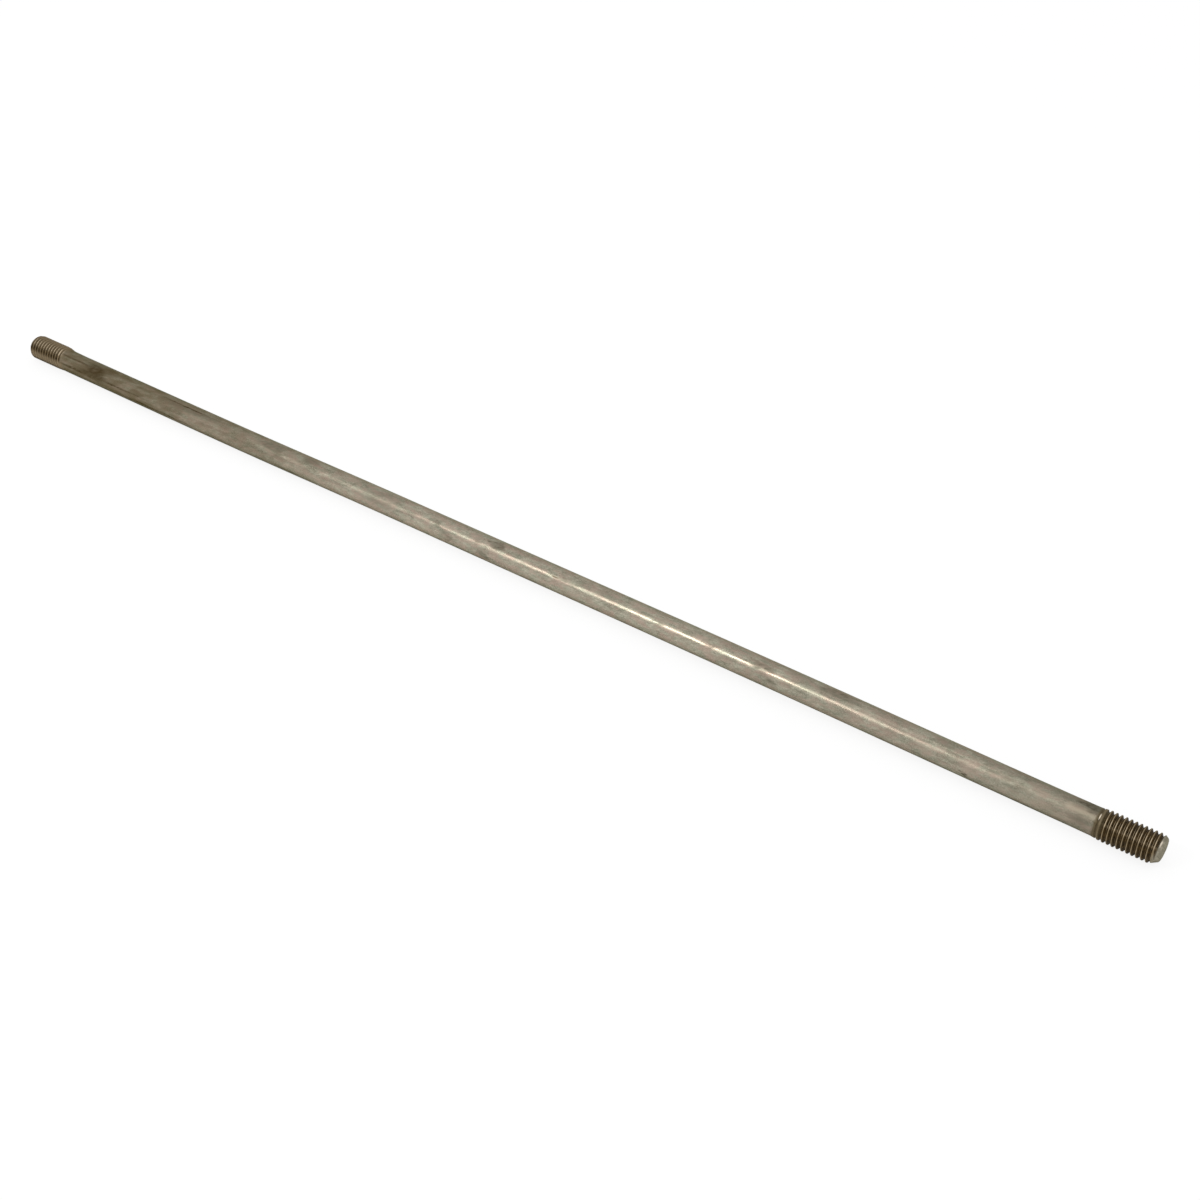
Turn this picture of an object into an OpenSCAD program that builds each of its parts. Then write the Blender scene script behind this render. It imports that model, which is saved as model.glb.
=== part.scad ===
// Tie rod: a plain round steel rod with a rolled thread at each end.
//
// One piece, lying along X with its middle at the origin. The body is one turned
// profile: a shank at about the thread's pitch diameter, a short cone up to the
// thread's outside diameter at each end, and a coned point with a flat face. The
// threads are right-hand at both ends. Each is a helical groove taken out of the
// body, which starts on the point, and grows shallow and runs out next to the shank.

/* [Rod] */
// Length over both end faces
rod_len = 635; // [150:5:1500]
// Outside diameter of the threads
thread_d = 12.7; // [12.3:0.05:13.1]
// Diameter of the plain shank between the threads
shank_d = 11.5; // [11.1:0.01:11.7]

/* [Thread] */
// Threads in each inch of length
threads_per_inch = 13; // [12:1:14]
// Length of thread at each end, from the end face to where its run-out stops
thread_len = 27; // [18:0.5:80]
// Turns over which the groove runs out next to the shank
runout_turns = 1.75; // [1:0.25:3]
// Included angle of the thread's V
thread_angle = 60; // [55:1:62]
// Flat segments in one turn of the groove
segments = 24; // [18:1:30]
// Segments by which the right-hand end's thread is turned about the rod
right_start = 1; // [0:1:17]
// Segments by which the left-hand end's thread is turned about the rod
left_start = 14; // [0:1:17]

/* [Point] */
// Diameter of the flat face at each end
point_d = 9.8; // [8.6:0.1:10.2]
// Slope of the coned point, measured from the rod's axis
point_angle = 30; // [20:1:45]

/* [Hidden] */

// Thread form: a flat an eighth of the pitch wide on the crests, and the root the
// standard share of a pitch below them.
pitch = 25.4 / threads_per_inch;
flank = tan(thread_angle / 2);
crest_w = pitch / 8;
groove_depth = 0.6134 * pitch;
mouth_w = pitch - crest_w;
root_w = mouth_w - 2 * groove_depth * flank;

// Radii, and stations measured inwards from an end face.
thread_r = thread_d / 2;
shank_r = shank_d / 2;
root_r = thread_r - groove_depth;
point_r = point_d / 2;
point_len = (thread_r - point_r) / tan(point_angle);
runout_len = runout_turns * pitch;
full_len = thread_len - runout_len;
half_len = rod_len / 2;

// The solid that cuts the groove stands this far outside the blank, and starts
// this far beyond the end face, so that it opens into clear air on both sides.
clear = 0.1;
lead_in = 0.6 * pitch;
cut_steps = ceil((lead_in + thread_len) / pitch * segments);

// Share of a segment by which every groove is turned further, so that none of its
// corners meets the line on the blank where the turned profile closes on itself.
off_seam = 1 / 3;

steel = "#9a9184";

// Share of the run-out behind a station: 0 in the full thread, 1 where it stops.
function runout(station) = max(0, min(1, (station - full_len) / runout_len));

// Radius of the groove's root at a station: it climbs until it clears the shank.
function root_at(station) = root_r + runout(station) * (shank_r + clear / 2 - root_r);

// Radius at which the groove's solid ends, outside the thread and the cone below it.
function rim_at(station) =
    max(thread_r, thread_r + runout(station) * (shank_r - thread_r)) + clear;

// Corners of the groove's section at a station, inner pair then outer pair, each
// as [radius, offset along the rod]. The V narrows as its root climbs.
corners = 4;
function section(station) =
    let (r = root_at(station), w = root_w / 2, rim = rim_at(station), mouth = w + (rim - r) * flank)
    [[r, -w], [r, w], [rim, mouth], [rim, -mouth]];

// Angle about the rod of a thread turned by a number of segments.
function start_angle(turned) = (turned + off_seam) * 360 / segments;

// One corner placed on a right-hand helix about Z that winds down from z = 0.
function helix_point(step, corner) =
    let (turns = step / segments, station = turns * pitch - lead_in,
         c = section(station)[corner], a = -360 * turns)
    [c[0] * cos(a), c[0] * sin(a), c[1] - station];

// Solid swept by the groove's section, with the end face at z = 0.
module groove() {
    points = [for (i = [0:cut_steps]) for (k = [0:corners - 1]) helix_point(i, k)];
    sides = [for (i = [0:cut_steps - 1]) for (k = [0:corners - 1])
        let (a = corners * i + k, b = corners * i + (k + 1) % corners)
        each [[a, b, b + corners], [a, b + corners, a + corners]]];
    first = [for (k = [corners - 1:-1:0]) k];
    last = [for (k = [0:corners - 1]) corners * cut_steps + k];
    polyhedron(points = points, faces = concat(sides, [first, last]), convexity = 20);
}

// Turned blank about Z, from one coned point to the other.
module blank() {
    upper = [
        [0, half_len],
        [point_r, half_len],
        [thread_r, half_len - point_len],
        [thread_r, half_len - full_len],
        [shank_r, half_len - thread_len],
    ];
    lower = [for (i = [len(upper) - 1:-1:0]) [upper[i][0], -upper[i][1]]];
    rotate_extrude($fn = 96) polygon(concat(upper, lower));
}

module tie_rod() {
    color(steel)
    rotate([0, 90, 0])
    difference() {
        blank();
        translate([0, 0, half_len]) rotate([0, 0, start_angle(right_start)]) groove();
        rotate([180, 0, 0])
            translate([0, 0, half_len]) rotate([0, 0, start_angle(left_start)]) groove();
    }
}

tie_rod();
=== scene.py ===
"""Steel tie rod: a drawn round bar with a right-hand thread rolled on each end.

The rod lies along X with its middle at the origin, Z up, in metres. Its surface
is one closed skin. The shank is a plain tube of rings. Each end is a strip that
is carried along the thread's helix, so the mesh's rows run along the crests and
roots, and it tapers to nothing at a ring on either side.
"""

import math

import bpy
import numpy as np
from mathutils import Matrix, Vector


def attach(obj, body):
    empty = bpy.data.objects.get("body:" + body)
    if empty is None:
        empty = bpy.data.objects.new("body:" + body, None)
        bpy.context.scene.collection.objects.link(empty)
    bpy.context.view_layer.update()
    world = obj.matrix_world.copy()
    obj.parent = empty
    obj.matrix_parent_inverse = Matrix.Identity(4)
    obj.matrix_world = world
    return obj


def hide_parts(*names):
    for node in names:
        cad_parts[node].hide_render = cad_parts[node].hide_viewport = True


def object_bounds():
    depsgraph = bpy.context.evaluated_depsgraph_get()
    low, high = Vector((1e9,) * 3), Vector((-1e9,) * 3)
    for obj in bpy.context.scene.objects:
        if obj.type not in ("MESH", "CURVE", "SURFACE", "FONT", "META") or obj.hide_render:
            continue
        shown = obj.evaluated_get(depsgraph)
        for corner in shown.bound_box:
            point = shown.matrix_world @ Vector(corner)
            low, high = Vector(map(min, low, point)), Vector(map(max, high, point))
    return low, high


bl_info = {
    "name": "Steel Tie Rod",
    "version": (1, 0, 0),
    "blender": (4, 5, 0),
    "location": "View3D > Sidebar > Tie Rod",
    "description": "Builds a steel tie rod with rolled threads, and a plain studio for it",
    "category": "Add Mesh",
}

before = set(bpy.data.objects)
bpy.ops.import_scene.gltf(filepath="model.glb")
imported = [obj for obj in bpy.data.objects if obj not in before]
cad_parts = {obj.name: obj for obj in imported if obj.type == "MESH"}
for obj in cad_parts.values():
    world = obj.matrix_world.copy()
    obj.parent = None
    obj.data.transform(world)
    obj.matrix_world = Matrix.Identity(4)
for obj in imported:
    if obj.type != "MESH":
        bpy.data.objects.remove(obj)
CAD_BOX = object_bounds()
MM = 0.001
INCH = 0.0254
PITCH = INCH / 13
SHANK_RADIUS = 5.75 * MM


def linear(code):
    """Linear colour, with alpha 1, of an sRGB hex code such as #9a9484."""
    parts = [int(code[i : i + 2], 16) / 255 for i in (1, 3, 5)]
    return [c / 12.92 if c <= 0.04045 else ((c + 0.055) / 1.055) ** 2.4 for c in parts] + [1.0]


def length(name, description, default):
    """A size in metres, shown in the scene's unit of length."""
    return bpy.props.FloatProperty(
        name=name, description=description, default=default, min=0.0, subtype="DISTANCE", unit="LENGTH"
    )


def colour(name, description, code):
    """A colour given as an sRGB hex code."""
    return bpy.props.FloatVectorProperty(
        name=name, description=description, default=linear(code), size=4, min=0.0, max=1.0, subtype="COLOR"
    )


class RodSizes(bpy.types.PropertyGroup):
    """Sizes of the rod and of its threads."""

    rod_length: length("Length", "Length over both end faces", CAD_BOX[1].x - CAD_BOX[0].x)
    thread_radius: length("Thread radius", "Outside radius of the threads", CAD_BOX[1].z)
    shank_radius: length("Shank radius", "Radius of the plain shank", SHANK_RADIUS)
    root_radius: length("Root radius", "Radius at the bottom of the thread's grooves", 5.28 * MM)
    pitch: length("Pitch", "Distance from one crest to the next", PITCH)
    thread_length: length("Thread length", "Length of thread, run-out included", 27 * MM)
    runout_length: length("Run-out", "Length over which the groove grows shallow", 1.75 * PITCH)
    point_radius: length("Point radius", "Radius of the flat face at each end", 4.8 * MM)
    swell: length("Swell", "How far the shank swells where it meets the threads", 0.14 * MM)
    right_offset: length("Right point offset", "How far the right-hand cone is off centre", 0.5 * MM)
    right_skew: length("Right face skew", "How far the right-hand face leans back", 0.05 * MM)
    left_offset: length("Left point offset", "How far the left-hand cone is off centre", 0.0)
    left_skew: length("Left face skew", "How far the left-hand face leans back", 0.6 * MM)
    point_slope: bpy.props.FloatProperty(
        name="Point slope",
        description="Slope of the coned point, from the axis",
        default=math.radians(30),
        subtype="ANGLE",
        unit="ROTATION",
    )
    right_phase: bpy.props.FloatProperty(
        name="Right thread phase",
        description="Place of the right-hand end's crests, in pitches, where they cross +Y",
        default=0.7944,
    )
    left_phase: bpy.props.FloatProperty(
        name="Left thread phase",
        description="Place of the left-hand end's crests, in pitches, where they cross +Y",
        default=0.2472,
    )


class RodFinish(bpy.types.PropertyGroup):
    """Colours of the rod's finishes, and of the highlights and glints painted on it."""

    steel_light: colour("Steel, light", "Clean drawn steel", "#bcb6a4")
    steel_dark: colour("Steel, dark", "Drawn steel under a film of oil and scale", "#6d6859")
    steel_warm: colour("Steel, warm", "Drawn steel with a pinkish brown tint", "#a78f82")
    steel_green: colour("Steel, green", "Drawn steel with a greenish tint", "#828c78")
    # Painted highlight: this colour is painted into the roots as glints and sheen in a band facing the
    # camera, and onto the lower side of the left-hand film.
    root: colour("Roots", "Steel showing in the roots of the grooves", "#a39277")
    speck: colour("Specks", "Pits and specks of scale", "#5d5648")
    stain: colour("Stain", "Brown stain towards the left-hand end", "#5f533c")
    patch: colour("Dark patch", "Darkest brown patches near the left-hand thread", "#40331d")
    grime: colour("Grime", "Old oil and dirt in the grooves", "#2c1f0a")
    grime_light: colour("Grime, light", "Dirt in the grooves where it lies thin", "#4a3719")
    film: colour("Film", "Film of old oil over the left-hand thread", "#7f6f57")
    # This colour also paints a highlight on the shank beside the right-hand thread, and lightens the lower
    # side in a few places.
    rubbed: colour("Rubbed", "Bright patches rubbed on the shank", "#bbae99")
    crest: colour("Crests", "Steel rubbed on the crests", "#85755b")
    # Painted highlight: this colour lightens the crests in a band facing the camera and towards both
    # edges.
    crest_highlight: colour("Crests, light", "Steel rubbed bright along one side of the crests", "#c9b99f")
    # Painted glints: this colour marks small spots where a lamp's reflection lands.
    glint: colour("Glint", "Small bright rubbed spots", "#eee2cf")
    point: colour("Point", "Bare grey steel on the coned points", "#9f9989")
    glancing: colour("Glancing light", "Tint of what the steel reflects at its edges", "#b9bbaf")


class StageSettings(bpy.types.PropertyGroup):
    """The floor, the lamps and the camera."""

    floor_colour: colour("Floor", "Colour of the floor and the backdrop", "#ffffff")
    floor_size: length("Floor size", "Length of a side of the floor", 12.0)
    lens: bpy.props.FloatProperty(
        name="Lens", description="Focal length on a 36 mm sensor, in millimetres", default=53.412
    )
    key_power: bpy.props.FloatProperty(
        name="Key lamp", description="Power of the main lamp", default=3.35, unit="POWER"
    )
    top_power: bpy.props.FloatProperty(
        name="Top lamp",
        description="Power of the weak lamp over the right-hand half",
        default=0.28,
        unit="POWER",
    )


# ---------------------------------------------------------------- mesh helpers


def smooth_min(a, b, blend):
    """The lower of two values, rounded where they lie within blend of each other.

    It is the lower value less blend / 4 times the square of how near they are, from 0 to 1.
    """
    near = np.clip(1 - np.abs(a - b) / blend, 0, 1)
    return np.minimum(a, b) - near * near * blend / 4


def smooth_step(low, high, value):
    """0 below low, 1 above high, and a smooth S between them."""
    t = np.clip((value - low) / (high - low), 0, 1)
    return t * t * (3 - 2 * t)


def grid_faces(index):
    """Faces between the rows and columns of an index grid, as (quads, triangles).

    Each face takes four neighbours in the grid, and loses a corner where two of them are one
    vertex, as at a pole.
    """
    corners = np.stack([index[:-1, :-1], index[1:, :-1], index[1:, 1:], index[:-1, 1:]], -1).reshape(-1, 4)
    same = corners == np.roll(corners, -1, axis=1)
    quads = corners[~same.any(1)]
    lean = corners[same.sum(1) == 1]
    keep = ~same[same.sum(1) == 1]
    return quads, lean[keep].reshape(-1, 3)


def make_mesh(name, points, quads, triangles):
    """A smooth-shaded mesh object of these points and faces, linked to the scene."""
    mesh = bpy.data.meshes.new(name)
    loops = np.concatenate([quads.ravel(), triangles.ravel()]).astype(np.int32)
    sizes = np.concatenate([np.full(len(quads), 4), np.full(len(triangles), 3)])
    starts = np.concatenate([[0], np.cumsum(sizes)[:-1]]).astype(np.int32)
    mesh.vertices.add(len(points))
    mesh.vertices.foreach_set("co", points.astype(np.float32).ravel())
    mesh.loops.add(len(loops))
    mesh.loops.foreach_set("vertex_index", loops)
    mesh.polygons.add(len(sizes))
    mesh.polygons.foreach_set("loop_start", starts)
    mesh.polygons.foreach_set("use_smooth", np.ones(len(sizes), bool))
    mesh.update(calc_edges=True)
    mesh.validate()
    item = bpy.data.objects.new(name, mesh)
    bpy.context.scene.collection.objects.link(item)
    return item


# ------------------------------------------------------------------- the rod

TURN_STEPS = 96  # vertices round the rod, and along one turn of the helix
STRIP_TURNS = 13  # whole turns of the strip along the thread's helix
SHANK_RINGS = 64
CREST_BLEND = 0.10 * MM  # rounding of the crest's corners
ROOT_ROUND = 0.20 * MM  # rounding of the groove's root
RIM_ROUND = 0.25 * MM  # rounding of the end face's rim
RIM_RINGS = 5  # rings of vertices round that rim
FACE_RINGS = (0.8, 0.55, 0.3, 0.1)  # shares of the end face's radius at which it has rings
FALL_LEAD = 2 * MM  # how far before the run-out the rod starts to fall to the shank
SWELL_REACH = 7 * MM  # how far beyond the full thread the shank is swollen
ROOT_CLEAR = 0.05 * MM  # how far above the swollen shank the root ends its climb
LEAN_REACH = 2.5 * MM  # how far in from an end face its lean reaches
THREAD_IN = (0.4 * MM, 2.2 * MM)  # where the thread's finish starts and is full, from the end
THREAD_OUT = (2.8 * MM, 0.4 * MM)  # where it starts to fade and is gone, from the run-out's end
BARE = (1.2 * MM, 2.6 * MM)  # where the point's bare steel starts to fade and is gone
BARE_REACH = 1.5 * MM  # how much further it reaches on the low side of the right-hand cone
POINT_SIDE = math.radians(62)  # side, from +Y towards +Z, on which a cone stands proud
FACE_SIDE = math.radians(316)  # side on which an end face reaches the full length
BEND_SIDE = math.radians(225)  # side towards which the rod bends
# Slight bends left by handling, each as where it starts and stops along X and its rise, in mm.
BENDS = ((-296, -287, 0.42), (-282, -190, 0.18), (-172, -50, -0.61), (-50, 135, -0.34), (150, 292, 0.35))
# Shares of a pitch from a crest at which the strip is divided, closer together on the crest and
# in the root.
STRIP_ROWS = np.array(
    [0, 0.03, 0.055, 0.08, 0.11, 0.16, 0.22, 0.28, 0.34, 0.39, 0.43, 0.465]
    + [0.5, 0.535, 0.57, 0.61, 0.66, 0.72, 0.78, 0.84, 0.89, 0.92, 0.945, 0.97]
)


def blank_radius(sizes, station, lean):
    """Radius of the rod before it is threaded, at a station measured in from its end face.

    It is the lower of a cone from the point's radius, moved out by lean, and the thread's outside
    radius, which falls in a smooth S to the swollen shank's, from just before the run-out to its
    end. The swelling fades out beyond that.
    """
    cone = sizes.point_radius + lean + station * math.tan(sizes.point_slope)
    full = sizes.thread_length - sizes.runout_length
    fall = smooth_step(full - FALL_LEAD, sizes.thread_length, station)
    swollen = sizes.shank_radius + sizes.swell * (1 - smooth_step(0, SWELL_REACH, station - full))
    outside = sizes.thread_radius + fall * (swollen - sizes.thread_radius)
    return smooth_min(cone, outside, CREST_BLEND)


def groove_radius(sizes, station, across):
    """Radius of the groove's surface at a distance along the rod from the groove's middle.

    It is a hyperbola whose arms have the slope of a 60 degree V, and its root climbs from the
    root's radius to just above the shank over the run-out.
    """
    full = sizes.thread_length - sizes.runout_length
    climb = np.clip((station - full) / sizes.runout_length, 0, 1)
    top = sizes.shank_radius + sizes.swell + ROOT_CLEAR
    root = sizes.root_radius + climb * (top - sizes.root_radius)
    return root + math.sqrt(3) * (np.hypot(across, ROOT_ROUND) - ROOT_ROUND)


def end_surface(sizes, x, angle, phase, offset):
    """(radius, groove, threaded) of a right-hand end at x along the rod and an angle from +Y to +Z.

    groove is 0 on the crests and 1 at the full depth of the root, and threaded is 1 where the
    thread is complete.
    """
    station = sizes.rod_length / 2 - x
    turns = x / sizes.pitch - angle / (2 * math.pi) - phase - 0.5
    across = (turns - np.round(turns)) * sizes.pitch
    blank = blank_radius(sizes, station, offset * np.cos(angle - POINT_SIDE))
    radius = smooth_min(blank, groove_radius(sizes, station, across), CREST_BLEND)
    groove = (blank - radius) / (sizes.thread_radius - sizes.root_radius)
    fade, gone = (sizes.thread_length - before for before in THREAD_OUT)
    threaded = smooth_step(*THREAD_IN, station) * (1 - smooth_step(fade, gone, station))
    return radius, np.clip(groove, 0, 1), threaded


def around(x, radius, angle):
    """Points at these places along X, radii and angles from +Y to +Z."""
    return np.stack([x, radius * np.cos(angle), radius * np.sin(angle)], -1)


def threaded_end(sizes, phase, offset, skew, side):
    """One end of the rod, on +X, from its point in to a ring on the shank.

    The skin is a strip one pitch wide, carried along the thread's helix. Over the first turn its
    lower edge stays on a ring round the shank while its upper edge climbs, and over the last its
    upper edge stays on a ring round the point, so it starts and ends at nothing. The point and
    its flat face are turned profiles that close on the axis. The point's cone stands off centre by
    offset, and the face leans back by skew across its width, away from the angle side.
    Returns points, an (n, 2) array of groove and threaded, quads, triangles and the shank's ring.
    """
    steps, rows = TURN_STEPS, len(STRIP_ROWS)
    half = sizes.rod_length / 2
    top_x = half - RIM_ROUND
    bottom_x = top_x - (STRIP_TURNS + 1) * sizes.pitch

    shares = np.sort((STRIP_ROWS + phase - bottom_x / sizes.pitch) % 1)
    shares[0] = 0
    column = np.arange(-steps, steps * (STRIP_TURNS + 1))[:, None]
    low = bottom_x + sizes.pitch * np.maximum(column, 0) / steps
    high = np.minimum(bottom_x + sizes.pitch * (column / steps + 1), top_x)
    x = low + (high - low) * shares[None, :]
    angle = 2 * math.pi * np.broadcast_to(column, x.shape) / steps
    radius, groove, threaded = end_surface(sizes, x, angle, phase, offset)
    points = [around(x, radius, angle).reshape(-1, 3)]
    tags = [np.stack([groove, threaded], -1).reshape(-1, 2)]

    # The point: from the cone round the rim to the flat face, and in to the axis.
    tilt = sizes.point_slope + np.linspace(0, math.pi / 2 - sizes.point_slope, RIM_RINGS)
    rim_x = half - RIM_ROUND * (1 - np.sin(tilt))
    rim_x = np.concatenate([[top_x], rim_x, np.full(len(FACE_RINGS), half)])
    rim_r = sizes.point_radius - RIM_ROUND * (1 - np.cos(tilt))
    cone_r = blank_radius(sizes, np.array(RIM_ROUND), 0.0)
    rim_r = np.concatenate([[cone_r], rim_r, rim_r[-1] * np.array(FACE_RINGS)])
    share = np.concatenate([np.ones(RIM_RINGS + 1), FACE_RINGS])
    ring_angle = 2 * math.pi * np.arange(steps) / steps
    lean = offset * np.cos(ring_angle - POINT_SIDE)[None, :] * share[:, None]
    rings = around(*np.broadcast_arrays(rim_x[:, None], rim_r[:, None] + lean, ring_angle[None, :]))
    points += [rings.reshape(-1, 3), np.array([[half, 0, 0]])]
    tags.append(np.zeros((rings.shape[0] * steps + 1, 2)))

    strip_count = x.size
    ring = strip_count + np.arange(rings.shape[0] * steps).reshape(-1, steps)
    pole = strip_count + ring.size

    # Index grid of the strip. The row above the last is the first row one turn further on, or
    # the ring round the point, and both ends of the strip close on one vertex.
    index = np.empty((steps * (STRIP_TURNS + 2) + 1, rows + 1), np.int64)
    index[:-1, :rows] = np.arange(strip_count).reshape(-1, rows)
    index[0, :rows] = steps * rows
    index[-1, :] = ring[0, 0]
    turned = np.arange(index.shape[0]) + steps
    index[:, rows] = np.where(
        turned < index.shape[0] - 1,
        index[np.minimum(turned, index.shape[0] - 1), 0],
        ring[0, turned % steps],
    )
    index[0, rows] = index[0, 0]
    quads, triangles = grid_faces(index)

    wrapped = np.concatenate([ring, ring[:, :1]], 1).T
    more_quads, _ = grid_faces(wrapped)
    last = ring[-1]
    fan = np.stack([last, np.roll(last, -1), np.full(steps, pole)], -1)
    shank_ring = index[:steps, 0].copy()

    # The face leans back away from the side on which it reaches the full length.
    points = np.concatenate(points)
    up = (points[:, 1] * math.cos(side) + points[:, 2] * math.sin(side)) / sizes.point_radius
    near = 1 - smooth_step(0, LEAN_REACH, half - points[:, 0])
    points[:, 0] -= skew * near * np.clip((1 - up) / 2, 0, None)
    return (
        points,
        np.concatenate(tags),
        np.concatenate([quads, more_quads]),
        np.concatenate([triangles, fan]),
        shank_ring,
    )


def rod_skin(sizes):
    """The whole rod as one closed skin: both ends, and rings along the shank that join them.

    The left-hand end is a right-hand end given half a turn about Z, which keeps the thread
    right-handed, so its crests' phase is half a pitch less its own, taken from the other side.
    """
    steps = TURN_STEPS
    right = threaded_end(sizes, sizes.right_phase, sizes.right_offset, sizes.right_skew, FACE_SIDE)
    left_phase = -sizes.left_phase - 0.5
    left = threaded_end(sizes, left_phase, sizes.left_offset, sizes.left_skew, math.pi - FACE_SIDE)
    half_turn = np.array([-1, -1, 1])
    count = len(right[0])
    right_ring = right[4]
    left_ring = count + left[4][(steps // 2 - np.arange(steps)) % steps]

    edge = right[0][right_ring[0], 0]
    x = np.linspace(-edge, edge, SHANK_RINGS + 2)[1:-1, None]
    angle = 2 * math.pi * np.arange(steps)[None, :] / steps
    shank = around(*np.broadcast_arrays(x, np.full((1, 1), sizes.shank_radius), angle))
    shank_index = 2 * count + np.arange(SHANK_RINGS * steps).reshape(-1, steps)
    index = np.concatenate([left_ring[None], shank_index, right_ring[None]])
    index = np.concatenate([index, index[:, :1]], 1).T
    quads, _ = grid_faces(index)

    points = np.concatenate([right[0], left[0] * half_turn, shank.reshape(-1, 3)])
    shift = sum(
        rise * MM * smooth_step(start * MM, stop * MM, points[:, 0]) for start, stop, rise in BENDS
    )
    points[:, 1] += shift * math.cos(BEND_SIDE)
    points[:, 2] += shift * math.sin(BEND_SIDE)
    tags = np.concatenate([right[1], left[1], np.zeros((shank_index.size, 2))])
    quads = np.concatenate([right[2], left[2] + count, quads])
    triangles = np.concatenate([right[3], left[3] + count])

    # Leave out the points that the strips' closed ends don't use.
    used = np.unique(np.concatenate([quads.ravel(), triangles.ravel()]))
    renumber = np.zeros(len(points), np.int64)
    renumber[used] = np.arange(len(used))
    return points[used], tags[used], renumber[quads], renumber[triangles]


# ----------------------------------------------------------------- materials


def add(tree, kind, settings=None, inputs=None):
    """Add a node, set its properties, and give each input a value or a link to a socket."""
    item = tree.nodes.new(kind)
    for key, value in (settings or {}).items():
        setattr(item, key, value)
    for key, value in (inputs or {}).items():
        if isinstance(value, bpy.types.NodeSocket):
            tree.links.new(value, item.inputs[key])
        else:
            item.inputs[key].default_value = value
    return item


def new_material(name):
    """A material with an empty node tree."""
    material = bpy.data.materials.new(name)
    material.use_nodes = True
    material.node_tree.nodes.clear()
    return material, material.node_tree


MARK_EDGE = (0.4, 1.3)  # where a mark starts to fade and is gone, in shares of its half sizes

# Marks on the rod, each as its place along X in mm, its angle in degrees from +Y towards +Z, its
# half length and half width in mm, and its strength.
LINES = (
    (-280, 121, 15, 0.5, 0.8),
    (-280, 168, 16, 0.7, 0.75),
    (-198, 106, 26, 0.45, 0.9),
    (-258, 163, 32, 0.6, 0.85),
    (-218, 193, 34, 0.8, 0.8),
    (-126, 201, 9, 0.9, 0.6),
    (35, 130, 2.5, 0.4, 0.9),
    (291, 133, 0.4, 3.0, 0.5),
)
STAINS = ((-266, 131, 8, 4.5, 0.95), (-260, 106, 9, 3.2, 0.4), (-266, 160, 13, 2.4, 0.85))
SCALE = (
    (-196, 121, 20, 2.2, 0.4),
    (-139, 115, 9, 3.2, 0.5),
    (-115, 101, 7, 2.0, 0.5),
    (-68, 128, 16, 5.0, 0.3),
    (-33, 129, 3, 1.3, 0.6),
    (-26, 170, 3.5, 2.5, 0.6),
    (-9, 129, 4, 1.3, 0.6),
    (-4, 175, 4.5, 1.6, 0.6),
    (1, 106, 4.5, 2.6, 0.7),
    (42, 127, 8, 1.2, 0.4),
    (66, 117, 30, 2.2, 0.16),
    (91, 129, 2.5, 1.2, 0.45),
    (117, 128, 4, 1.2, 0.5),
    (143, 117, 6, 1.8, 0.6),
    (147, 164, 3, 1.5, 0.55),
    (165, 117, 10, 1.8, 0.14),
    (178, 88, 9, 2.6, 0.55),
    (226, 95, 7, 2.0, 0.2),
    (238, 187, 1.5, 1.0, 0.9),
    (288, 82, 6.0, 3.4, 0.75),
    (286, 154, 5, 2.4, 0.35),
)
# Pale patches: the first is a painted highlight beside the right-hand thread, the rest lighten the lower
# side in places.
PALE_PATCHES = (
    (286, 122, 6, 1.8, 0.35),
    (-182, 177, 16, 2.4, 0.1),
    (-108, 177, 30, 2.6, 0.12),
    (-38, 177, 17, 2.6, 0.18),
    (270, 177, 12, 2.6, 0.15),
)
# Painted glints: small bright spots on the right-hand run-out and point, standing in for the lamps'
# reflections.
GLINTS = ((292.35, 111, 0.26, 1.5, 1.0), (316.5, 112, 0.3, 1.5, 0.7))

# Stretches of the rod, each as where its finish starts and is full along X in mm, and its strength.
BROWNED = ((-60, -170, 0.46), (-185, -230, 0.27))
DULLED = ((100, 170, 0.18), (232, 262, 0.25))

# Where a finish on or beside a thread starts and is full along X, in mm.
LEFT_THREAD = (-289.0, -292.0)
RIGHT_THREAD = (290.6, 292.0)
RIGHT_DULL = (270.0, 288.0)
SPILL = ((291.2, 292.2), (295.0, 293.9))  # both ends of the dirt beside the right-hand thread

# How far a place is from the middle of the side that faces the camera, for each mm of its Y and
# Z: 1 at the rod's lower edge, and -1 at its upper edge.
LOWER_EDGE = (-0.116, -0.119)
SLANT = -0.8  # how far the straightening marks run along the bar for each mm of Y or Z


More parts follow.
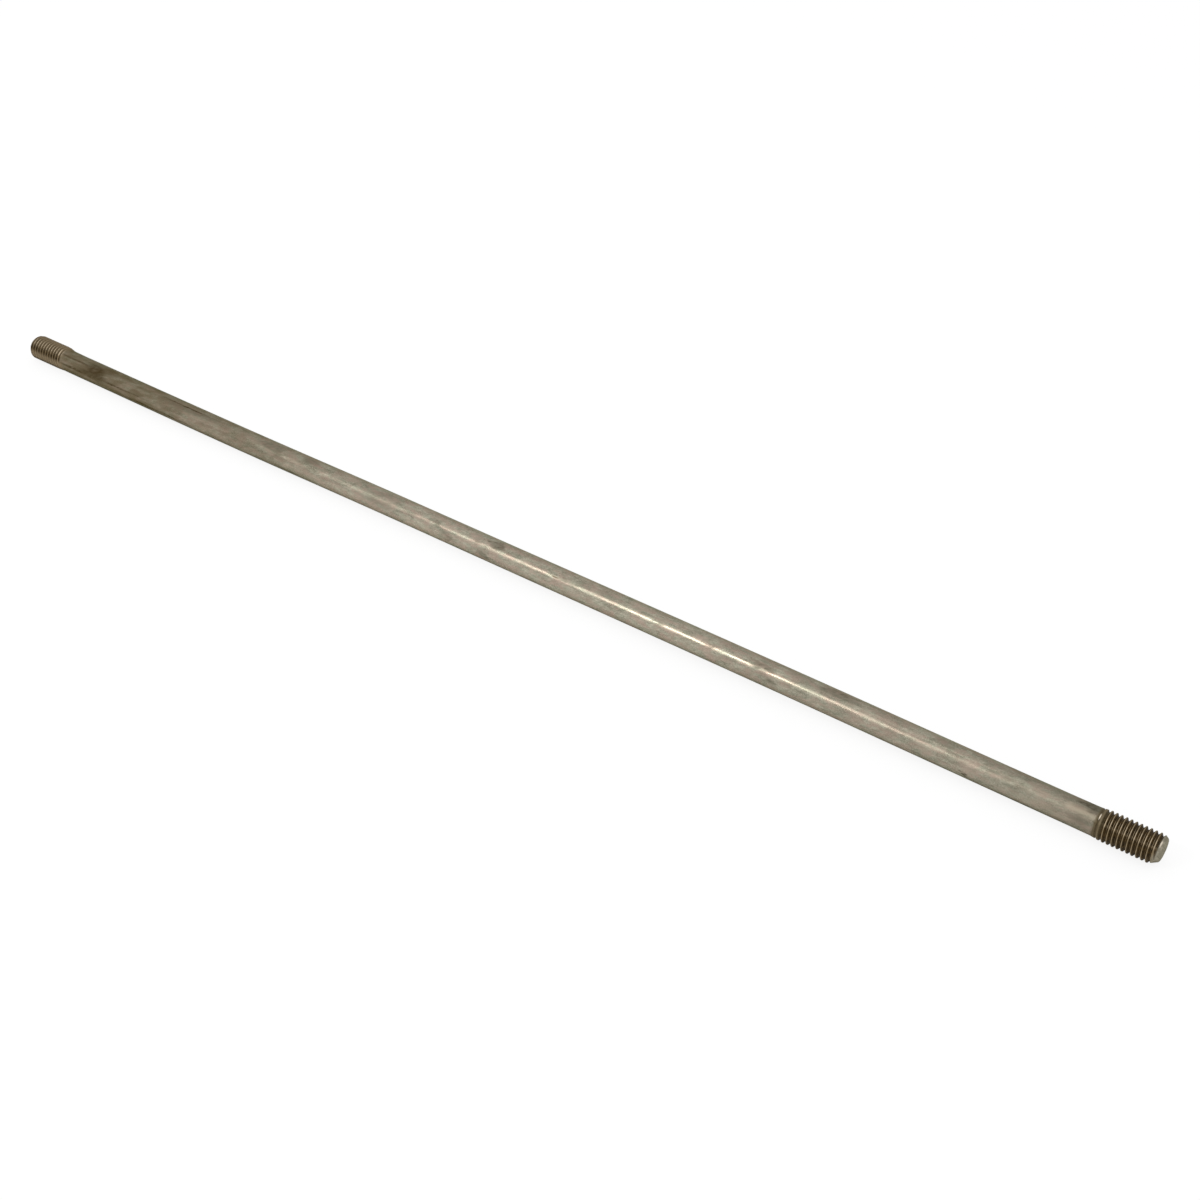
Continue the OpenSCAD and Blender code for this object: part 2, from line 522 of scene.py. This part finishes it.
def drawn_steel(finish):
    """Cold-drawn mild steel bar, as it leaves the mill, with threads rolled after drawing.

    Drawing leaves fine streaks along the bar, and straightening rollers leave faint slanting marks
    across them. A thin film of oil and scale makes it a dull warm grey with darker specks. The rolled
    grooves hold dark dirt, and their crests are rubbed. The left-hand end is stained brown. Painted
    highlights lighten the crests and roots in a band along the side that faces the camera, a painted
    highlight lies beside the right-hand thread, painted glints mark a few small spots, and painted
    shade darkens the left-hand thread's lower edge.
    """
    material, tree = new_material("cold_drawn_steel")
    place = add(tree, "ShaderNodeTexCoord").outputs["Object"]
    mm = add(tree, "ShaderNodeVectorMath", {"operation": "SCALE"}, {0: place, "Scale": 1 / MM}).outputs[0]
    x, y, z = add(tree, "ShaderNodeSeparateXYZ", None, {0: mm}).outputs
    groove, threaded, point = (
        add(tree, "ShaderNodeAttribute", {"attribute_name": name}).outputs["Fac"]
        for name in ("groove", "threaded", "point")
    )

    def calc(operation, a, b=0.0, c=0.0):
        """A sum on up to three numbers."""
        return add(tree, "ShaderNodeMath", {"operation": operation}, {0: a, 1: b, 2: c}).outputs[0]

    def vector(operation, a, b, c=(0.0, 0.0, 0.0)):
        """A sum on two or three vectors."""
        return add(tree, "ShaderNodeVectorMath", {"operation": operation}, {0: a, 1: b, 2: c}).outputs[0]

    def ramp(value, low, high, start=0.0, end=1.0):
        """Value mapped from low..high to start..end in a smooth S, and held outside them."""
        return add(
            tree,
            "ShaderNodeMapRange",
            {"interpolation_type": "SMOOTHSTEP"},
            {"Value": value, "From Min": low, "From Max": high, "To Min": start, "To Max": end},
        ).outputs[0]

    def noise(stretch, detail, low, high, place=mm):
        """Noise with features stretch millimetres long along X, Y and Z, cut to 0 to 1."""
        spread = vector("MULTIPLY", place, tuple(1 / s for s in stretch))
        inputs = {"Vector": spread, "Scale": 1.0, "Detail": detail}
        return ramp(add(tree, "ShaderNodeTexNoise", None, inputs).outputs["Fac"], low, high)

    def mix(factor, a, b):
        """Colour a turned towards colour b by a factor."""
        return add(tree, "ShaderNodeMix", {"data_type": "RGBA"}, {0: factor, 6: a, 7: b}).outputs[2]

    def marks(table, place):
        """How strongly a table's marks show at a place, as the strongest of them."""
        total, radius = 0.0, SHANK_RADIUS / MM
        for along, angle, long, wide, strength in table:
            turn = math.radians(angle)
            centre = (along, radius * math.cos(turn), radius * math.sin(turn))
            away = vector("MULTIPLY", vector("SUBTRACT", place, centre), (1 / long, 1 / wide, 1 / wide))
            far = add(tree, "ShaderNodeVectorMath", {"operation": "LENGTH"}, {0: away}).outputs["Value"]
            total = calc("MAXIMUM", ramp(far, *MARK_EDGE, strength, 0.0), total)
        return total

    def stretches(table):
        """How strongly a table's stretches show along the bar, as the sum of them."""
        total = 0.0
        for start, full, strength in table:
            total = calc("ADD", ramp(x, start, full, 0.0, strength), total)
        return total

    # Straightening marks slant across the bar, so their place along X slides with Y and Z.
    slide = calc("MULTIPLY_ADD", y, SLANT, calc("MULTIPLY_ADD", z, SLANT, x))
    slanted = add(tree, "ShaderNodeCombineXYZ", None, {0: slide, 1: y, 2: z}).outputs[0]
    blotches = noise((9, 3.2, 3.2), 2.0, 0.36, 0.64, slanted)
    mottle = noise((2.6, 1.3, 1.3), 3.0, 0.32, 0.68, slanted)
    grain = noise((0.55, 0.4, 0.4), 2.0, 0.34, 0.66)
    streaks = noise((30, 0.8, 0.8), 3.0, 0.35, 0.65)
    tint = noise((6, 2.2, 2.2), 4.0, 0.38, 0.62)
    fleck = noise((2.4, 1.2, 1.2), 2.0, 0.40, 0.62, slanted)
    specks = noise((1.5, 0.9, 0.9), 1.0, 0.70, 0.78)
    broken = calc("MULTIPLY_ADD", fleck, 0.3, calc("MULTIPLY_ADD", grain, 0.4, 0.2))
    broken = calc("MULTIPLY_ADD", mottle, 0.6, broken)

    # The drawn surface: light and dark steel, tinted warm and green in places, with specks.
    shade = calc("MULTIPLY_ADD", blotches, 0.22, calc("MULTIPLY", mottle, 0.25))
    shade = calc("ADD", shade, calc("MULTIPLY_ADD", grain, 0.42, calc("MULTIPLY", streaks, 0.11)))
    colour_now = mix(shade, finish.steel_dark, finish.steel_light)
    colour_now = mix(calc("MULTIPLY", tint, 0.55), colour_now, finish.steel_warm)
    colour_now = mix(calc("MULTIPLY", fleck, 0.24), colour_now, finish.steel_green)
    colour_now = mix(calc("MULTIPLY", specks, 0.5), colour_now, finish.speck)

    # A wandering shift of place, longer along the bar than across it, gives the marks ragged edges.
    spread = vector("MULTIPLY", slanted, (0.16, 0.5, 0.5))
    inputs = {"Vector": spread, "Scale": 1.0, "Detail": 3.0}
    wander = add(tree, "ShaderNodeTexNoise", None, inputs).outputs["Color"]

    def shifted(along, across):
        """This place, shifted by the wander up to these millimetres along and across the bar."""
        span, back = (2 * along, 2 * across, 2 * across), (-along, -across, -across)
        return vector("ADD", mm, vector("MULTIPLY_ADD", wander, span, back))

    ragged, wavy = shifted(8.0, 1.6), shifted(3.0, 0.5)

    # Brown stain that deepens in two steps towards the left-hand end, and a duller stretch by the
    # right-hand thread, both broken by the blotches. Then the marks.
    uneven = calc("MULTIPLY_ADD", blotches, -0.3, 1.15)
    colour_now = mix(calc("MULTIPLY", stretches(BROWNED), uneven), colour_now, finish.stain)
    colour_now = mix(calc("MULTIPLY", stretches(DULLED), uneven), colour_now, finish.steel_dark)
    scale_marks = calc("MULTIPLY", marks(SCALE, ragged), broken)
    colour_now = mix(scale_marks, colour_now, finish.speck)
    stains = calc("MULTIPLY", marks(STAINS, wavy), calc("MULTIPLY_ADD", mottle, 0.35, 0.6))
    stains = calc("MAXIMUM", stains, calc("MULTIPLY", marks(LINES, wavy), broken))
    colour_now = mix(stains, colour_now, finish.patch)
    # Pale patches: a painted highlight beside the right-hand thread, and lighter places along the lower
    # side.
    colour_now = mix(marks(PALE_PATCHES, ragged), colour_now, finish.rubbed)

    # Threads: dirt on the flanks and in the roots, and narrow rubbed crests. A painted highlight lightens
    # the crests in a band along the side that faces the camera, and painted glints and sheen lighten the
    # roots.
    side = calc("MULTIPLY_ADD", y, LOWER_EDGE[0], calc("MULTIPLY", z, LOWER_EDGE[1]))
    off_middle = calc("ABSOLUTE", side)
    left_end = ramp(x, *LEFT_THREAD)
    centre = calc("MULTIPLY_ADD", left_end, 0.14, calc("ADD", side, 0.19))
    band = ramp(calc("ABSOLUTE", centre), 0.45, 0.18)
    sheen = calc("MULTIPLY", ramp(off_middle, 0.14, 0.02), ramp(left_end, 0.0, 1.0, 0.16, 0.0))
    spill = calc("MULTIPLY", *(ramp(x, start, full) for start, full in SPILL))
    rubbed = calc("MULTIPLY", ramp(threaded, 0.3, 1.0), ramp(groove, 0.0, 0.016, 0.95, 0.0))
    rubbed = calc("MULTIPLY", rubbed, calc("MULTIPLY_ADD", calc("MAXIMUM", spill, point), -0.8, 1.0))
    dirt = calc("MULTIPLY", threaded, ramp(groove, 0.0, 0.035))
    dirt = calc("MAXIMUM", dirt, calc("MULTIPLY", spill, 0.85))
    dirt = calc("MAXIMUM", dirt, calc("MULTIPLY", calc("MULTIPLY", left_end, point), 0.85))
    # Painted glints and sheen in the roots: in the band that faces the camera, and along the middle of the
    # right-hand thread.
    root_glint = calc("MULTIPLY", ramp(groove, 0.92, 0.99), calc("MULTIPLY_ADD", band, 0.65, 0.1))
    grime_and_glints = mix(mottle, finish.grime, finish.grime_light)
    grime_and_glints = mix(calc("MAXIMUM", root_glint, sheen), grime_and_glints, finish.root)
    # Painted sheen: the left-hand thread's grooves take the film's lighter colour, more strongly towards
    # the upper side.
    thin = calc("MULTIPLY", ramp(side, 0.35, -0.3, 0.0, 0.62), calc("MULTIPLY_ADD", point, -0.8, 1.0))
    grime_and_glints = mix(calc("MULTIPLY", left_end, thin), grime_and_glints, finish.film)
    grime_and_glints = mix(calc("MULTIPLY", spill, 0.7), grime_and_glints, finish.stain)
    colour_now = mix(ramp(x, *RIGHT_THREAD, 0.0, 0.85), colour_now, finish.stain)
    tip = mix(calc("MULTIPLY", fleck, 0.5), finish.point, finish.steel_dark)
    tip = mix(calc("MULTIPLY", left_end, 0.75), tip, finish.stain)
    colour_now = mix(calc("MULTIPLY", point, 0.9), colour_now, tip)
    colour_now = mix(dirt, colour_now, grime_and_glints)
    # Painted highlight on the crests, in the band that faces the camera and towards both edges.
    bright = calc("MAXIMUM", band, ramp(off_middle, 0.4, 0.75, 0.0, 0.4))
    bright = calc("MULTIPLY", bright, calc("MULTIPLY_ADD", left_end, 0.4, 0.55))
    colour_now = mix(rubbed, colour_now, mix(bright, finish.crest, finish.crest_highlight))

    # Film of old oil that hides the left-hand thread's grooves, except along one side. The film is painted
    # lighter towards the lower side, and painted shade darkens it at the lower edge.
    film = calc("MULTIPLY", ramp(calc("ABSOLUTE", calc("ADD", side, 0.08)), 0.4, 0.75), left_end)
    film_light_and_shade = mix(ramp(side, 0.35, 0.8, 0.0, 0.3), finish.film, finish.root)
    film_light_and_shade = mix(ramp(side, 0.86, 0.98, 0.0, 0.6), film_light_and_shade, finish.grime)
    colour_now = mix(calc("MULTIPLY", film, 0.8), colour_now, film_light_and_shade)
    # Painted glints on the right-hand run-out and point.
    colour_now = mix(marks(GLINTS, mm), colour_now, finish.glint)

    # The steel is duller at both ends, on scale and in dirt. Streaks and grain give it relief.
    dull = calc("MULTIPLY_ADD", left_end, 0.25, ramp(x, *RIGHT_DULL, 0.0, 0.22))
    dull = calc("MULTIPLY_ADD", scale_marks, 0.2, dull)
    rough = calc("MULTIPLY_ADD", streaks, 0.08, calc("MULTIPLY_ADD", blotches, 0.08, 0.24))
    rough = calc("MULTIPLY_ADD", dirt, 0.12, calc("ADD", dull, rough))
    height = calc("MULTIPLY_ADD", noise((9, 0.7, 0.7), 4.0, 0.2, 0.8), 0.6, calc("MULTIPLY", mottle, 0.5))
    height = calc("MULTIPLY_ADD", grain, 0.4, height)
    bump = add(tree, "ShaderNodeBump", None, {"Strength": 0.25, "Distance": 0.04 * MM, "Height": height})
    shader = add(
        tree,
        "ShaderNodeBsdfPrincipled",
        None,
        {
            "Base Color": colour_now,
            "Metallic": calc("MULTIPLY_ADD", dirt, -0.85, 1.0),
            "Roughness": rough,
            "Normal": bump.outputs[0],
            "Specular Tint": finish.glancing,
        },
    )
    add(tree, "ShaderNodeOutputMaterial", None, {"Surface": shader.outputs[0]})
    return material


PLAIN_WHITE = 0.85  # share of the floor's look that takes no shadow


def studio_white(stage):
    """Matt white paper: it shows as plain white, and keeps a soft share of the rod's shadow."""
    material, tree = new_material("white_paper_sweep")
    ray = add(tree, "ShaderNodeLightPath").outputs["Is Camera Ray"]
    paper = add(tree, "ShaderNodeBsdfDiffuse", None, {"Color": stage.floor_colour}).outputs[0]
    glow = add(tree, "ShaderNodeEmission", None, {"Color": stage.floor_colour, "Strength": 1.0}).outputs[0]
    share = add(tree, "ShaderNodeMath", {"operation": "MULTIPLY"}, {0: ray, 1: PLAIN_WHITE}).outputs[0]
    surface = add(tree, "ShaderNodeMixShader", None, {0: share, 1: paper, 2: glow}).outputs[0]
    add(tree, "ShaderNodeOutputMaterial", None, {"Surface": surface})
    return material


# ----------------------------------------------------------------- operators

# Lamps, each as its place, the place along X that it points at, and the lengths of its sides.
LAMPS = {
    "key": ((-0.505, -0.89, 1.023), 0.092, (0.30, 0.10)),
    "top": ((0.13, -0.12, 0.985), 0.13, (0.50, 0.20)),
}
CAMERA_PLACE = (0.421322, -0.499244, 0.483759)
CAMERA_AHEAD = (-0.46343638, 0.63587784, -0.61715970)
SENSOR_WIDTH = 36.0  # in mm
BEHIND = 0.9  # +Y part of the direction in which the backdrop is dimmest
DIMMEST = 0.86  # how bright it is there


class OBJECT_OT_tie_rod(bpy.types.Operator):
    """Build the rod with its two rolled threads"""

    bl_idname = "object.tie_rod"
    bl_label = "Tie Rod"

    def execute(self, context):
        sizes, finish = context.scene.rod_sizes, context.scene.rod_finish
        points, tags, quads, triangles = rod_skin(sizes)
        if not len(quads):
            raise RuntimeError("the rod's skin came out empty")
        rod = make_mesh("steel_rod", points, quads, triangles)
        station = sizes.rod_length / 2 - np.abs(points[:, 0])
        angle = np.arctan2(points[:, 2], points[:, 1])
        reach = BARE_REACH * np.clip(-np.cos(angle - POINT_SIDE), 0, 1) * (points[:, 0] > 0)
        bare = 1 - smooth_step(*BARE, station - reach)
        for name, values in (("groove", tags[:, 0]), ("threaded", tags[:, 1]), ("point", bare)):
            attribute = rod.data.attributes.new(name, "FLOAT", "POINT")
            attribute.data.foreach_set("value", values.astype(np.float32))
        rod.data.materials.append(drawn_steel(finish))
        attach(rod, "root")
        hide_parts("tie_rod")
        return {"FINISHED"}


class OBJECT_OT_studio(bpy.types.Operator):
    """Build the floor, the lamps and the camera"""

    bl_idname = "object.tie_rod_studio"
    bl_label = "Studio"

    def execute(self, context):
        scene, stage = context.scene, context.scene.stage_settings
        side, depth = stage.floor_size / 2, CAD_BOX[0].z
        outline = ((-side, -side), (side, -side), (side, side), (-side, side))
        corners = np.array([(x, y, depth) for x, y in outline])
        floor = make_mesh("floor", corners, np.array([[0, 1, 2, 3]]), np.zeros((0, 3), int))
        floor.data.materials.append(studio_white(stage))

        world = bpy.data.worlds.new("white_studio")
        world.use_nodes = True
        tree = world.node_tree
        tree.nodes.clear()

        # The backdrop is white, and a little dimmer behind the rod.
        toward = add(tree, "ShaderNodeTexCoord").outputs["Generated"]
        toward = add(tree, "ShaderNodeSeparateXYZ", None, {0: toward}).outputs[1]
        level = add(
            tree,
            "ShaderNodeMapRange",
            None,
            {"Value": toward, "From Min": 0.0, "From Max": BEHIND, "To Min": 1.0, "To Max": DIMMEST},
        ).outputs[0]
        sky = add(tree, "ShaderNodeBackground", None, {"Color": (1, 1, 1, 1), "Strength": level})
        add(tree, "ShaderNodeOutputWorld", None, {"Surface": sky.outputs[0]})
        scene.world = world

        for name, power in (("key", stage.key_power), ("top", stage.top_power)):
            place, aim, sides = LAMPS[name]
            light = bpy.data.lights.new(name, "AREA")
            light.shape, light.size, light.size_y = "RECTANGLE", *sides
            light.energy = power
            lamp = bpy.data.objects.new(name, light)
            lamp.location = place
            lamp.rotation_euler = (Vector((aim, 0, 0)) - lamp.location).to_track_quat("-Z", "Y").to_euler()
            scene.collection.objects.link(lamp)

        lens = bpy.data.cameras.new("camera")
        lens.lens, lens.sensor_width = stage.lens, SENSOR_WIDTH
        camera = bpy.data.objects.new("camera", lens)
        camera.location = CAMERA_PLACE
        camera.rotation_euler = Vector(CAMERA_AHEAD).to_track_quat("-Z", "Y").to_euler()
        scene.collection.objects.link(camera)
        scene.camera = camera
        scene.view_settings.view_transform = "Standard"
        return {"FINISHED"}


class VIEW3D_PT_tie_rod(bpy.types.Panel):
    """Lists the rod's sizes and finishes, and the studio's settings"""

    bl_label = "Tie Rod"
    bl_space_type = "VIEW_3D"
    bl_region_type = "UI"
    bl_category = "Tie Rod"

    def draw(self, context):
        scene = context.scene
        for heading, group, operator in (
            ("Sizes", scene.rod_sizes, None),
            ("Finishes", scene.rod_finish, OBJECT_OT_tie_rod.bl_idname),
            ("Studio", scene.stage_settings, OBJECT_OT_studio.bl_idname),
        ):
            box = self.layout.box()
            box.label(text=heading)
            for name in group.__annotations__:
                box.prop(group, name)
            if operator:
                box.operator(operator)


CLASSES = (RodSizes, RodFinish, StageSettings, OBJECT_OT_tie_rod, OBJECT_OT_studio, VIEW3D_PT_tie_rod)
GROUPS = {"rod_sizes": RodSizes, "rod_finish": RodFinish, "stage_settings": StageSettings}


def register():
    for item in CLASSES:
        bpy.utils.register_class(item)
    for name, group in GROUPS.items():
        setattr(bpy.types.Scene, name, bpy.props.PointerProperty(type=group))


def unregister():
    for name in GROUPS:
        delattr(bpy.types.Scene, name)
    for item in reversed(CLASSES):
        bpy.utils.unregister_class(item)


def main():
    """Build the studio and the rod."""
    register()
    bpy.ops.object.tie_rod_studio()
    bpy.ops.object.tie_rod()


if __name__ == "__main__":
    main()
